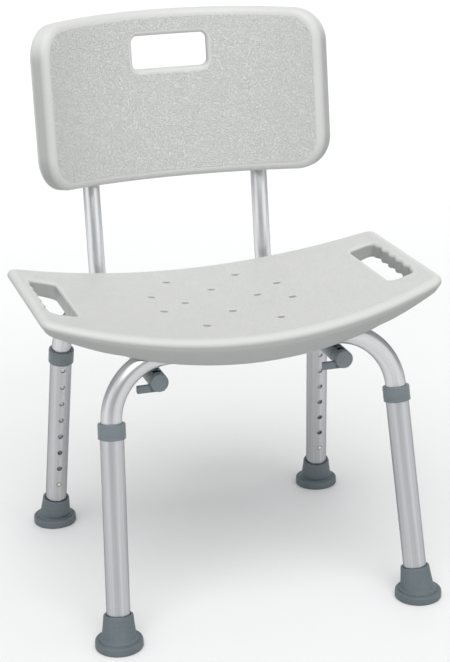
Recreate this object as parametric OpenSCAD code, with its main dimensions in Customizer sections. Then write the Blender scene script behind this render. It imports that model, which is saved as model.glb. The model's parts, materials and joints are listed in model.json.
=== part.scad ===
// Shower chair: a curved blow-moulded seat and back panel on two bent leg
// frames, four height-adjustable lower legs, and a backrest that pulls out
// to the rear. X is across the chair, +Y is towards the back, +Z is up.
// The corners are fl, fr, rl and rr: front or rear, and the -X or +X side.

/* [Seat] */
// Width of the seat
seat_w = 502; // [490:1:520]
// Depth of the seat on its centre line
seat_depth = 312; // [308:1:316]
// Depth of the seat at its ends
seat_end_depth = 238; // [230:1:246]
// Height of the middle of the seat's top over the floor
seat_z = 358; // [357:0.5:360]
// Rise of the seat's ends over its middle
seat_rise = 38; // [34:1:42]
// Thickness of the seat in the middle
seat_thick = 31; // [30:0.5:32]
// Thickness of the seat at its ends
seat_end_thick = 17; // [15:1:19]
// Radius of the seat's corners in plan
seat_corner_r = 18; // [12:1:24]
// Wall of the blow-moulded shells
shell_wall = 3; // [2.5:0.5:3]
// Diameter of the drain holes
drain_d = 9.5; // [8:0.5:11]

/* [Hand slots] */
// Distance from the centre line to the near side of a hand slot
slot_in_x = 198; // [194:1:200]
// Width of a hand slot
slot_w = 33; // [30:1:34]
// Length of a hand slot
slot_l = 144; // [120:1:150]
// Radius of the slots' corners
slot_r = 9; // [6:1:12]
// Depth of the finger scallops in the grip
scallop_depth = 2.5; // [1.5:0.5:3]
// Number of finger scallops in each grip
scallops = 5; // [3:1:6]

/* [Back panel] */
// Width of the panel between its rear corners
panel_w = 400; // [380:1:410]
// Radius of the panel's middle surface, seen from above
panel_r = 255; // [245:1:300]
// Thickness of the panel
panel_t = 26; // [24:1:30]
// Distance along the back tubes from seat level to the panel's lower edge
panel_low = 114; // [105:1:120]
// Height of the panel on its centre line
panel_h = 222; // [210:1:230]
// Rise of the top edge's middle over its ends
panel_arch = 12; // [6:1:16]
// Fall of the lower edge's middle under its ends
panel_bow = 3; // [2:1:6]
// Radius of the panel's corners
panel_corner_r = 45; // [30:1:55]
// Width of the handle slot
handle_w = 106; // [90:1:120]
// Height of the handle slot
handle_h = 44; // [36:1:50]
// Distance from the panel's top edge down to the handle slot
handle_drop = 33; // [28:1:40]

/* [Tubes] */
// Outer diameter of the bent leg frames
frame_d = 25.4; // [25.4:0.1:25.4]
// Outer diameter of the lower legs
leg_d = 28.6; // [28.6:0.1:28.6]
// Outer diameter of the back tubes
back_d = 22.2; // [22.2:0.1:22.2]
// Wall of the leg frames and back tubes
tube_wall = 1.25; // [1:0.05:1.5]
// Wall of the lower legs
leg_wall = 1.5; // [1.5:0.05:1.5]
// Radius of the leg frames' bends, on the tube's centre line
frame_bend_r = 76; // [70:1:80]
// Radius of the back tubes' bends, on the tube's centre line
back_bend_r = 60; // [50:1:70]

/* [Stance] */
// Distance of each foot from the centre line, across the chair
foot_x = 193; // [185:1:200]
// Distance of each foot from the legs' centre, front to back
foot_y = 188; // [180:1:195]
// Lean of the leg frames, front to back
lean = 9.9; // [9:0.1:11]
// Splay of the legs, across the chair
splay = 2.82; // [2:0.01:3.5]
// Lean of the backrest
recline = 6.47; // [4:0.01:8]
// Distance of each back tube from the centre line
back_x = 116.6; // [114:0.1:119]

/* [Height adjustment] */
// Distance between two holes in a lower leg
pitch = 25.4; // [25.4:0.1:25.4]
// Number of height holes in a lower leg
holes = 8; // [5:1:8]
// Diameter of the height holes
hole_d = 7; // [6:0.5:8]
// Distance from the floor to the lowest hole, along the leg
first_hole = 68; // [64:1:70]

/* [Feet] */
// Diameter of the rubber foot's flange
foot_d = 58; // [50:1:64]
// Height of the flange
foot_flange_h = 11; // [8:1:13]
// Height of the whole foot, along the leg
foot_h = 40; // [34:1:46]

/* [Hidden] */
$fn = 96;
CORNERS = [["fl", -1, -1], ["fr", 1, -1], ["rl", -1, 1], ["rr", 1, 1]];
SIDES = [["left", -1], ["right", 1]];

far = 900;              // longer than the whole chair, for cutting tools
bead = 0.05;            // rise of the beads where a tube's bends meet its straights

// legs: a leg's own frame has its origin on the floor and +Z along the leg
run_v = 345.4;          // floor to the leg frame's cross run, along the leaning plane
run_y = foot_y - run_v * sin(lean);
run_z = run_v * cos(lean);
bend_turn = 90 - splay;
bend_tangent = frame_bend_r * tan(bend_turn / 2);
straight_end = run_v / cos(splay) - bend_tangent;
bend_x = foot_x - run_v * tan(splay) - bend_tangent;
frame_end = first_hole - 22;
collar_h = 19;
collar_top = 272;
collar_lip = 2;
collar_d = 33.3;
collar_bore = frame_d + 0.1;
leg_top = collar_top - collar_lip;
washer_t = 1.5;
leg_low = 9.6;          // lower end of the tube, on the washer in the foot
foot_neck_r = 18;

// snap buttons: they stand in the lowest hole and face the middle of the chair
// at the front and the front of the chair at the rear
button_d = hole_d - 0.2;
button_out = leg_d / 2 + 1;
button_in = 6.6;        // inner end of the button, from the tube's axis
frame_bore_r = frame_d / 2 - tube_wall;

// seat: its top, its underside and its front and rear edges are circular arcs
seat_half = seat_w / 2;
seat_cy = -4;           // middle of the seat, from the legs' centre
seat_bow = (seat_depth - seat_end_depth) / 2;
function arc_r(half, sag) = (half * half + sag * sag) / (2 * sag);
seat_top_r = arc_r(seat_half, seat_rise);
seat_low_z = seat_z - seat_thick;
seat_low_rise = seat_rise + seat_thick - seat_end_thick;
seat_low_r = arc_r(seat_half, seat_low_rise);
seat_edge_r = arc_r(seat_half, seat_bow);
// drain holes: distance from the centre line, and from the seat's middle
DRAINS = [[46.9, 94], [46.9, -94], [0, 47], [0, -47], [83.4, 31], [83.4, -31], [47.5, 1]];

// backrest: its own frame has +Z along the back tubes and its origin on
// their plane at seat level
back_y = 185.5;
back_z0 = 305.3;        // height of the back tubes' level stretch
back_corner_y = back_y + (back_z0 - seat_z) * tan(recline);
back_turn = 90 - recline;
back_tangent = back_bend_r * tan(back_turn / 2);
panel_sink = 3;         // depth of the back tubes in the panel's rear channels
panel_apex = (panel_r - sqrt(panel_r * panel_r - back_x * back_x))
    - back_d / 2 - panel_t / 2 + panel_sink;
panel_out_r = panel_r + panel_t / 2;
panel_in_r = panel_r - panel_t / 2;
panel_half = asin(panel_w / 2 / panel_out_r);
panel_top = panel_low + panel_h;
back_tube_top = panel_top - 24;
handle_top = panel_top - handle_drop;
PANEL_SCREWS = [panel_low + 30, panel_top - 60];

// under the seat: mounting pads, the backrest's locks and its rear guides
pad_z = 333;
pad_w = 58;
housing_front = -131;
face_t = 3;
hub_l = 14;
hub_d = 16;
housing_d = 22.4;
housing_back = -70;
spigot_end = -38;
spigot_d = back_d - 2 * tube_wall - 0.1;
housing_post = [-92, -70];
guide_span = [72, 100];
guide_r = 15.5;
flange_t = 5;
mount_screw_x = 23;
clip_x = 60;
clip_w = 30;
clip_screw_y = 100;
clip_t = 4;
clip_pad_z = 328;

// the box around the whole chair is centred on the origin
front_reach = foot_y + foot_d / 2;
panel_rear = back_y + panel_top * sin(recline)
    + (panel_apex + panel_t / 2) * cos(recline);
shift_y = (front_reach - panel_rear) / 2;

// ---- frames of reference ----
module placed() { translate([0, shift_y, 0]) children(); }
module at_leg(sx, sy) {
    translate([sx * foot_x, sy * foot_y, 0])
        rotate([sy * lean, 0, 0]) rotate([0, -sx * splay, 0]) children();
}
module at_plane(sy) {
    translate([0, sy * foot_y, 0]) rotate([sy * lean, 0, 0]) children();
}
module at_back() {
    translate([0, back_y, seat_z]) rotate([-recline, 0, 0]) children();
}
// +Z of the children points to -Y
module facing_front() { rotate([90, 0, 0]) children(); }
module both_sides() {
    children();
    mirror([1, 0, 0]) children();
}

// ---- seat ----
function arc_pts(cx, cy, r, a0, a1, n) =
    [for (i = [0 : n]) let (a = a0 + (a1 - a0) * i / n) [cx + r * cos(a), cy + r * sin(a)]];
module rounded_rect(w, h, r) {
    polygon([for (q = [0 : 3]) let (sx = q == 0 || q == 3 ? 1 : -1, sy = q < 2 ? 1 : -1)
        each arc_pts(sx * (w / 2 - r), sy * (h / 2 - r), r, 90 * q, 90 * q + 90, 6)]);
}
// the rear half of the seat's outline, drawn in by a margin, from +X to -X
function seat_rear_half(margin) =
    let (r = seat_corner_r - margin, big = seat_edge_r - margin,
        off = seat_edge_r - seat_depth / 2, cx = seat_half - seat_corner_r,
        cy = sqrt((big - r) * (big - r) - cx * cx) - off, a = atan2(cy + off, cx))
    concat(arc_pts(cx, cy, r, 0, a, 6), arc_pts(0, -off, big, a + 0.8, 180 - a - 0.8, 30),
        arc_pts(-cx, cy, r, 180 - a, 180, 6));
module seat_plan(margin) {
    half = seat_rear_half(margin);
    polygon(concat(half, [for (p = half) -p]));
}
// everything between two arcs across the chair, drawn in by a margin
module seat_slab(margin) {
    difference() {
        translate([0, far / 2, seat_low_z + seat_low_r]) facing_front()
            cylinder(r = seat_low_r - margin, h = far, $fn = 720);
        translate([0, far / 2 + 1, seat_z + seat_top_r]) facing_front()
            cylinder(r = seat_top_r + margin, h = far + 2, $fn = 720);
    }
}
module seat_body(margin) {
    intersection() {
        translate([0, seat_cy, 200]) linear_extrude(300) seat_plan(margin);
        seat_slab(margin);
    }
}
module drain_places() {
    translate([0, seat_cy, 0]) for (d = DRAINS, s = [-1, 1])
        if (d[0] > 0 || s > 0) translate([s * d[0], d[1], 300]) children();
}
module hand_slot(margin) {
    translate([slot_in_x + slot_w / 2, seat_cy, 300]) linear_extrude(200)
        rounded_rect(slot_w + 2 * margin, slot_l + 2 * margin, slot_r + margin);
}
// shallow finger hollows in the outer wall of a hand slot
module finger_scallops() {
    step = (slot_l - 24) / scallops;
    r = arc_r(step / 2 - 1, scallop_depth);
    for (i = [0 : scallops - 1])
        translate([slot_in_x + slot_w + scallop_depth - r,
                seat_cy + (i - (scallops - 1) / 2) * step, 300])
            cylinder(r = r, h = 200);
}
// the groove that a leg frame's cross run lies in, open downwards, and a
// little wider outwards, where the bends lean away
module frame_channel(sy, r) {
    translate([-160, sy * run_y, run_z]) rotate([0, 90, 0]) cylinder(r = r, h = 320);
    translate([-160, sy * run_y - r - (sy < 0 ? 1.5 : 0), 250])
        cube([320, 2 * r + 1.5, run_z - 250]);
}
module mount_pads() {
    for (s = [-1, 1]) {
        translate([s * back_x - pad_w / 2, housing_post[0] - 3, pad_z])
            cube([pad_w, housing_post[1] - housing_post[0] + 6, 22]);
        translate([s * back_x - pad_w / 2, guide_span[0] - 1, pad_z])
            cube([pad_w, guide_span[1] - guide_span[0] + 2, 22]);
        for (t = [-1, 1])
            translate([s * clip_x - clip_w / 2, t * clip_screw_y - 10.5, clip_pad_z])
                cube([clip_w, 25, 18]);
    }
}
module mount_screw_places() {
    for (s = [-1, 1], e = [-1, 1], y = [housing_post, guide_span])
        translate([s * back_x + e * mount_screw_x, (y[0] + y[1]) / 2, 0]) children();
    for (s = [-1, 1], t = [-1, 1])
        translate([s * clip_x, t * clip_screw_y, 0]) children();
}
module seat_shell() {
    color("#d6d8d4") placed() difference() {
        union() {
            difference() {
                seat_body(0);
                difference() {
                    seat_body(shell_wall);
                    for (sy = [-1, 1]) frame_channel(sy, frame_d / 2 + 0.2 + shell_wall);
                    both_sides() hand_slot(shell_wall + scallop_depth);
                    drain_places() cylinder(d = drain_d + 5, h = 100);
                    mount_screw_places() translate([0, 0, 300]) cylinder(d = 12, h = 100);
                }
            }
            intersection() {
                mount_pads();
                translate([0, far / 2, seat_low_z + seat_low_r + 8]) facing_front()
                    difference() {
                        cylinder(r = seat_low_r + 30, h = far, $fn = 720);
                        translate([0, 0, -1])
                            cylinder(r = seat_low_r - shell_wall + 7, h = far + 2, $fn = 720);
                    }
            }
        }
        for (sy = [-1, 1]) frame_channel(sy, frame_d / 2 + 0.2);
        both_sides() { hand_slot(0); finger_scallops(); }
        drain_places() cylinder(d = drain_d, h = 200);
        mount_screw_places() translate([0, 0, 300]) cylinder(d = 3.4, h = pad_z + 14 - 300);
        translate([150, seat_cy, 300]) cylinder(d = 5, h = 60);
    }
}

// ---- leg frames ----
// a round tube's section, or a rod's where the bore is 0
module section(r, bore) {
    difference() {
        circle(r);
        if (bore > 0) circle(bore);
    }
}
// A bend and the straight that follows it meet through a short bead, which
// stands out by a hair, so that the tube is one solid.
module tube_joint(r, bore, length) {
    translate([0, 0, 0.2]) linear_extrude(length - 0.2) section(r, bore);
    translate([0, 0, -0.3]) linear_extrude(1) section(r + bead, bore - bead);
}
module leg_frame_half(r, bore) {
    translate([bend_x, 0, run_v]) rotate([0, -90, 0])
        linear_extrude(bend_x) section(r, bore);
    translate([bend_x, 0, run_v - frame_bend_r]) facing_front() {
        rotate_extrude(angle = bend_turn, start = splay)
            translate([frame_bend_r, 0]) section(r, bore);
        rotate([0, 0, splay]) translate([frame_bend_r, 0, 0]) rotate([90, 0, 0])
            tube_joint(r, bore, straight_end - frame_end);
    }
}
module leg_frame(sy) {
    color("#c4c6c9") placed() difference() {
        at_plane(sy) both_sides() leg_frame_half(frame_d / 2, frame_bore_r);
        for (sx = [-1, 1]) at_leg(sx, sy) button_side(sy)
            translate([0, 0, first_hole]) facing_front() cylinder(d = hole_d, h = 30);
    }
}
// the buttons face -Y on the rear legs and +Y on the front legs
module button_side(sy) { rotate([0, 0, sy > 0 ? 0 : 180]) children(); }

// ---- lower legs ----
module leg_tube(sx, sy) {
    color("#b9bcc0") placed() at_leg(sx, sy) difference() {
        translate([0, 0, leg_low]) cylinder(d = leg_d, h = leg_top - leg_low);
        translate([0, 0, leg_low - 1])
            cylinder(d = leg_d - 2 * leg_wall, h = leg_top - leg_low + 2);
        button_side(sy) for (i = [0 : holes - 1])
            translate([0, 0, first_hole + i * pitch]) facing_front()
                cylinder(d = hole_d, h = 30);
    }
}
module leg_collar(sx, sy) {
    color("#6f7a80") placed() at_leg(sx, sy) translate([0, 0, collar_top - collar_h])
        difference() {
            rotate_extrude() polygon([
                [leg_d / 2 - 4, 0], [collar_d / 2 - 0.8, 0], [collar_d / 2, 0.8],
                [collar_d / 2, collar_h - 1.2], [collar_d / 2 - 1.2, collar_h],
                [leg_d / 2 - 4, collar_h]]);
            translate([0, 0, -1]) cylinder(d = leg_d + 0.06, h = collar_h - collar_lip + 1);
            cylinder(d = collar_bore, h = collar_h + 1);
        }
}
// rubber foot: a level flange on the floor under a neck that follows the leg
module foot_tip(sx, sy) {
    color("#5f6a70") placed() difference() {
        union() {
            translate([sx * foot_x, sy * foot_y, 0]) rotate_extrude() polygon([
                [0, 0], [foot_d / 2 - 1.5, 0], [foot_d / 2, 1.5],
                [foot_d / 2, foot_flange_h - 3], [foot_d / 2 - 2.5, foot_flange_h],
                [24, foot_flange_h + 0.5], [23.2, foot_flange_h + 4],
                [21, foot_flange_h + 5], [0, foot_flange_h + 5]]);
            at_leg(sx, sy) rotate_extrude() polygon([
                [0, 10], [20.4, 10], [20.4, 16], [foot_neck_r, foot_h - 1.5],
                [foot_neck_r - 1, foot_h], [0, foot_h]]);
        }
        at_leg(sx, sy) translate([0, 0, leg_low - washer_t]) cylinder(d = leg_d + 0.06, h = 60);
        translate([sx * foot_x, sy * foot_y, -1]) for (r = [9, 15, 21]) rotate_extrude()
            translate([r, 0]) square([2, 2.5]);
    }
}
module foot_washer(sx, sy) {
    color("#9a9da0") placed() at_leg(sx, sy) translate([0, 0, leg_low - washer_t])
        cylinder(d = leg_d - 0.6, h = washer_t);
}

// ---- snap buttons ----
module snap_button(sx, sy) {
    color("#b89a5a") placed() at_leg(sx, sy) button_side(sy)
        translate([0, 0, first_hole]) facing_front() rotate_extrude() polygon([
            [0, button_in], [button_d / 2, button_in], [button_d / 2, button_out - 1.2],
            [button_d / 2 - 1.2, button_out], [0, button_out]]);
}
// leaf spring folded like a hairpin in the frame tube, behind the button
module button_spring(sx, sy) {
    leaf_w = 8;
    leaf_t = 0.8;
    leaf_l = 26;
    fold_r = 5.4;
    color("#8d9093") placed() at_leg(sx, sy) button_side(sy)
        translate([leaf_w / 2, 0, first_hole]) rotate([0, -90, 0]) linear_extrude(leaf_w) {
            translate([-6, -button_in]) square([leaf_l + 6, leaf_t]);
            translate([-6, -button_in + 2 * fold_r - leaf_t]) square([leaf_l + 6, leaf_t]);
            translate([leaf_l, fold_r - button_in]) difference() {
                circle(fold_r);
                circle(fold_r - leaf_t);
                translate([-20, -20]) square([20, 40]);
            }
        }
}

// ---- backrest ----
module back_tube(s) {
    r = back_d / 2;
    bore = r - tube_wall;
    level = back_corner_y - back_tangent;
    drop = (seat_z - back_z0) / cos(recline) - back_tangent;
    color("#c9cbce") placed() difference() {
        translate([s * back_x, level, back_z0 + back_bend_r]) rotate([90, 0, -90]) {
            translate([0, -back_bend_r, 0]) rotate([0, 90, 0])
                linear_extrude(level - housing_back) rotate(-90) section(r, bore);
            rotate_extrude(angle = back_turn, start = 180 + recline)
                translate([back_bend_r, 0]) section(r, bore);
            rotate([0, 0, recline]) translate([-back_bend_r, 0, 0]) rotate([-90, 0, 0])
                tube_joint(r, bore, back_tube_top + drop);
        }
        at_back() for (w = PANEL_SCREWS) translate([s * back_x, 20, w]) facing_front()
            cylinder(d = 4.4, h = 40);
    }
}
module back_tube_cap(s) {
    color("#6f7a80") placed() at_back() translate([s * back_x, 0, back_tube_top]) {
        cylinder(d = back_d, h = 1.5);
        translate([0, 0, -12]) cylinder(d = back_d - 2 * tube_wall - 0.06, h = 12);
    }
}
// what a rounded corner takes off the panel: the outside of an arc, cut
// towards the panel's axis
module panel_corner_cut(s, t, r) {
    turn = panel_half - asin((panel_corner_r - 0.5) / panel_out_r);
    x = panel_in_r * sin(turn);
    sag = t > 0 ? panel_arch : panel_bow;
    big = arc_r(panel_w / 2, sag);
    fall = big - sqrt(big * big - x * x) + panel_corner_r;
    rotate([0, 0, -s * turn])
        translate([0, panel_in_r - 60, t > 0 ? panel_top - fall : panel_low + fall])
            rotate([-90, 0, 0]) linear_extrude(200)
                polygon(concat([[0, -t * far], [0, -t * r]],
                    [for (p = arc_pts(0, 0, r, 90, 0, 10)) [s * p[0], -t * p[1]]],
                    [[s * (r + 60), 0], [s * (r + 60), -t * far]]));
}
module panel_blank(margin) {
    half = panel_half - margin / panel_r * 180 / PI;
    difference() {
        translate([0, panel_apex - panel_r, panel_low - 5]) difference() {
            rotate([0, 0, 90 - half]) rotate_extrude(angle = 2 * half)
                translate([panel_in_r + margin, 0])
                    square([panel_t - 2 * margin, panel_h + 10]);
        }
        translate([0, panel_apex - panel_r, 0]) for (s = [-1, 1], t = [-1, 1])
            panel_corner_cut(s, t, panel_corner_r - margin);
        panel_edge_cut(panel_arch, panel_top - margin, 1);
        panel_edge_cut(panel_bow, panel_low + margin, -1);
    }
}
// what lies past the arched top edge (t = 1) or lower edge (t = -1)
module panel_edge_cut(sag, height, t) {
    r = arc_r(panel_w / 2, sag);
    translate([0, 150, height - t * r]) facing_front() linear_extrude(400)
        polygon(concat([[-far, t * (r + 50)], [-far, 0]],
            [for (i = [-12 : 12]) let (a = i * 1.1 * asin(panel_w / 2 / r) / 12)
                [r * sin(a), t * r * cos(a)]],
            [[far, 0], [far, t * (r + 50)]]));
}
module handle_slot(margin) {
    translate([0, 60, handle_top - handle_h / 2]) facing_front() linear_extrude(120)
        rounded_rect(handle_w + 2 * margin, handle_h + 2 * margin, 9 + margin);
}
module panel_tube_channels(r) {
    for (s = [-1, 1]) translate([s * back_x, 0, 0]) cylinder(r = r, h = back_tube_top + 3);
}
module back_panel() {
    color("#d6d8d4") placed() at_back() difference() {
        panel_blank(0);
        difference() {
            panel_blank(shell_wall);
            handle_slot(shell_wall);
            panel_tube_channels(back_d / 2 + 0.1 + shell_wall);
            for (s = [-1, 1], w = PANEL_SCREWS) translate([s * back_x, 20, w])
                facing_front() cylinder(d = 12, h = 90);
        }
        handle_slot(0);
        panel_tube_channels(back_d / 2 + 0.1);
        for (s = [-1, 1], w = PANEL_SCREWS) translate([s * back_x, 20, w])
            facing_front() cylinder(d = 3.4, h = 20 + 26);
        translate([0, panel_apex - panel_r, panel_low + 60]) rotate([-90, 0, 0])
            translate([0, 0, panel_r]) cylinder(d = 5, h = 40);
    }
}

// ---- backrest locks and guides, under the seat ----
module lock_housing(s) {
    color("#6f7a80") placed() translate([s * back_x, 0, 0]) difference() {
        union() {
            translate([0, 0, back_z0]) facing_front() rotate_extrude() polygon([
                [0, -spigot_end], [spigot_d / 2, -spigot_end], [spigot_d / 2, -housing_back],
                [housing_d / 2, -housing_back], [housing_d / 2, -housing_front - face_t - hub_l],
                [hub_d / 2, -housing_front - face_t - hub_l], [hub_d / 2, -housing_front - face_t],
                [housing_d / 2, -housing_front - face_t], [housing_d / 2, -housing_front - 1],
                [housing_d / 2 - 1, -housing_front], [0, -housing_front]]);
            translate([-8, housing_post[0], back_z0])
                cube([16, housing_post[1] - housing_post[0], pad_z - back_z0]);
            translate([-pad_w / 2, housing_post[0] - 3, pad_z - flange_t])
                cube([pad_w, housing_post[1] - housing_post[0] + 6, flange_t]);
        }
        translate([-5, housing_front + face_t + hub_l + 4, back_z0 + housing_d / 2 - 4])
            cube([10, 3, 10]);
        for (e = [-1, 1]) translate([e * mount_screw_x, (housing_post[0] + housing_post[1]) / 2, 300])
            cylinder(d = 4.4, h = 60);
    }
}
// thumb lever: a ring on the housing's hub, a tab to -X and a fin behind it
module lock_lever(s) {
    gap = 0.05;
    front = housing_front + face_t + gap;
    length = hub_l - 2 * gap;
    color("#6f7a80") placed() translate([s * back_x, 0, back_z0]) difference() {
        union() {
            translate([0, front + length, 0]) facing_front() cylinder(d = housing_d, h = length);
            translate([-31, front, -housing_d / 2 - 0.4]) cube([38, 6, 9.4]);
            translate([-housing_d / 2 + 0.2, front, -housing_d / 2 - 0.4]) cube([5, length, 9.4]);
        }
        translate([0, 0, 0]) facing_front() cylinder(d = hub_d + 2 * gap, h = 200);
    }
}
module back_guide(s) {
    mid = (guide_span[0] + guide_span[1]) / 2;
    length = guide_span[1] - guide_span[0];
    color("#6f7a80") placed() translate([s * back_x, 0, 0]) difference() {
        union() {
            translate([0, guide_span[1], back_z0]) facing_front() cylinder(r = guide_r, h = length);
            translate([-12, guide_span[0], back_z0]) cube([24, length, pad_z - back_z0]);
            translate([-pad_w / 2, guide_span[0], pad_z - flange_t]) cube([pad_w, length, flange_t]);
        }
        translate([0, guide_span[1] + 1, back_z0]) facing_front()
            cylinder(d = back_d + 0.1, h = length + 2);
        for (e = [-1, 1]) translate([e * mount_screw_x, mid, 300]) cylinder(d = 4.4, h = 60);
    }
}
// clip that hooks under a leg frame's cross run
module leg_clip(sx, sy) {
    low = run_z - frame_d / 2 - clip_t;
    color("#6f7a80") placed() translate([sx * clip_x, 0, 0])
            mirror([0, sy > 0 ? 1 : 0, 0]) difference() {
        translate([-clip_w / 2, -run_y - 9, low]) cube([clip_w, run_y + 9 - 90, clip_pad_z - low]);
        translate([-50, -run_y, run_z]) rotate([0, 90, 0]) cylinder(d = frame_d + 0.1, h = 100);
        translate([0, -clip_screw_y, 300]) cylinder(d = 4.4, h = 60);
    }
}

// ---- fasteners ----
// pan-head screw with its head's underside at the origin and its tip at +Z
module screw(l) {
    difference() {
        union() {
            rotate_extrude() polygon([[0, -2.4], [2.6, -2.4], [3.8, -1.6], [4.2, 0], [0, 0]]);
            cylinder(d = 3.4, h = l);
        }
        translate([0, 0, -2.5]) for (a = [0, 90]) rotate([0, 0, a])
            translate([-2, -0.4, 0]) cube([4, 0.8, 1.4]);
    }
}
module clip_screws() {
    low = run_z - frame_d / 2 - clip_t;
    color("#a9acb0") placed() for (s = [-1, 1], t = [-1, 1])
        translate([s * clip_x, t * clip_screw_y, low]) screw(clip_pad_z + 14 - low);
}
module pad_screws(span) {
    color("#a9acb0") placed() for (s = [-1, 1], e = [-1, 1])
        translate([s * back_x + e * mount_screw_x, (span[0] + span[1]) / 2, pad_z - flange_t])
            screw(flange_t + 12);
}
module panel_screws() {
    color("#a9acb0") placed() at_back() for (s = [-1, 1], w = PANEL_SCREWS)
        translate([s * back_x, back_d / 2, w]) facing_front() screw(back_d + 12);
}

// ---- assembly ----
seat_shell();
back_panel();
leg_frame(-1);  // front_leg_frame
leg_frame(1);  // rear_leg_frame
for (c = CORNERS) {
    leg_tube(c[1], c[2]);
    leg_collar(c[1], c[2]);
    foot_tip(c[1], c[2]);
    foot_washer(c[1], c[2]);
    snap_button(c[1], c[2]);
    button_spring(c[1], c[2]);
    leg_clip(c[1], c[2]);
}
for (d = SIDES) {
    back_tube(d[1]);
    back_tube_cap(d[1]);
    lock_housing(d[1]);
    lock_lever(d[1]);
    back_guide(d[1]);
}
clip_screws();
pad_screws(housing_post);  // housing_screws
pad_screws(guide_span);  // guide_screws
panel_screws();
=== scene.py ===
import json
import math

import bpy
import numpy as np
from mathutils import Matrix, Vector
from mathutils.geometry import delaunay_2d_cdt

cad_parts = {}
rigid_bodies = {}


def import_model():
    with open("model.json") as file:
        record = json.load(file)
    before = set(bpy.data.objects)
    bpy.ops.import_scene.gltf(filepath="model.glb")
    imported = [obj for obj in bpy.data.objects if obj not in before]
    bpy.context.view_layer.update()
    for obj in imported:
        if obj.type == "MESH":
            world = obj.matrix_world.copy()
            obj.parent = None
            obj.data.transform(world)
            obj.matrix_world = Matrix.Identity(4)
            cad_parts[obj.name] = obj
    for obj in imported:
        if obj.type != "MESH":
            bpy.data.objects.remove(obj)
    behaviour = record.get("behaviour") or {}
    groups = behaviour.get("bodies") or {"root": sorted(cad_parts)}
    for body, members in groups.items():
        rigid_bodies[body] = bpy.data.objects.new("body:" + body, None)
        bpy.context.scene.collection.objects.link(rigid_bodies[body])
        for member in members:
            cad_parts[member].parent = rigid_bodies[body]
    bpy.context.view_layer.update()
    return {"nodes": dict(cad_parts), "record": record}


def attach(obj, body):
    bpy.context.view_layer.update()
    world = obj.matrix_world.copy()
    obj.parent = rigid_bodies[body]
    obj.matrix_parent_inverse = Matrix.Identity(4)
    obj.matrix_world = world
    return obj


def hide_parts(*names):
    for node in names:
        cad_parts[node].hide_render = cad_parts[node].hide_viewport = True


for default in list(bpy.data.objects):
    bpy.data.objects.remove(default)
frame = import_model()
MM = 0.001

# ---- the chair's own dimensions, in millimetres, in the frame of the CAD ----
mounts = {m["name"]: m for m in frame["record"]["mounts"]}
foot = mounts["foot_fr"]["pos_m"]
FOOT_X = foot[0] / MM
FOOT_Y = 188.0
SHIFT = foot[1] / MM + FOOT_Y              # how far the legs' centre is from the box's centre
LEAN, SPLAY, RECLINE = map(math.radians, (9.9, 2.82, 6.47))
SEAT_Z, SEAT_CY = 358.0, -4.0
SEAT_HALF, SEAT_DEPTH, SEAT_END = 251.0, 312.0, 238.0
BACK_Y, BACK_X = 185.5, 116.6
RUN_V = 345.4
RUN_Y, RUN_Z = FOOT_Y - RUN_V * math.sin(LEAN), RUN_V * math.cos(LEAN)
CORNERS = [("fl", -1, -1), ("fr", 1, -1), ("rl", -1, 1), ("rr", 1, 1)]
SIDES = [("left", -1), ("right", 1)]


def arc_r(half, sag):
    """The radius of an arc from half its chord and its rise."""
    return (half * half + sag * sag) / (2 * sag)


def leg_matrix(sx, sy):
    """A leg's own frame: origin on the floor under the foot, +Z up the leg."""
    return (Matrix.Translation((sx * FOOT_X, sy * FOOT_Y + SHIFT, 0))
            @ Matrix.Rotation(sy * LEAN, 4, "X") @ Matrix.Rotation(-sx * SPLAY, 4, "Y"))


def plane_matrix(sy):
    """A leg frame's plane: origin on the floor, +Z up the leaning plane."""
    return Matrix.Translation((0, sy * FOOT_Y + SHIFT, 0)) @ Matrix.Rotation(sy * LEAN, 4, "X")


BACK = Matrix.Translation((0, BACK_Y + SHIFT, SEAT_Z)) @ Matrix.Rotation(-RECLINE, 4, "X")


# ---- mesh helpers ----
def make_object(name, verts, faces, material, attributes=None):
    mesh = bpy.data.meshes.new(name)
    mesh.from_pydata([tuple(float(c) * MM for c in v) for v in verts], [], faces)
    mesh.validate()
    for key, values in (attributes or {}).items():
        values = np.array(values, dtype=np.float32)
        vector = values.ndim == 2
        layer = mesh.attributes.new(key, "FLOAT_VECTOR" if vector else "FLOAT", "POINT")
        layer.data.foreach_set("vector" if vector else "value", values.ravel())
    mesh.polygons.foreach_set("use_smooth", [True] * len(mesh.polygons))
    mesh.materials.append(material)
    obj = bpy.data.objects.new(name, mesh)
    bpy.context.scene.collection.objects.link(obj)
    return obj


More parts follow.
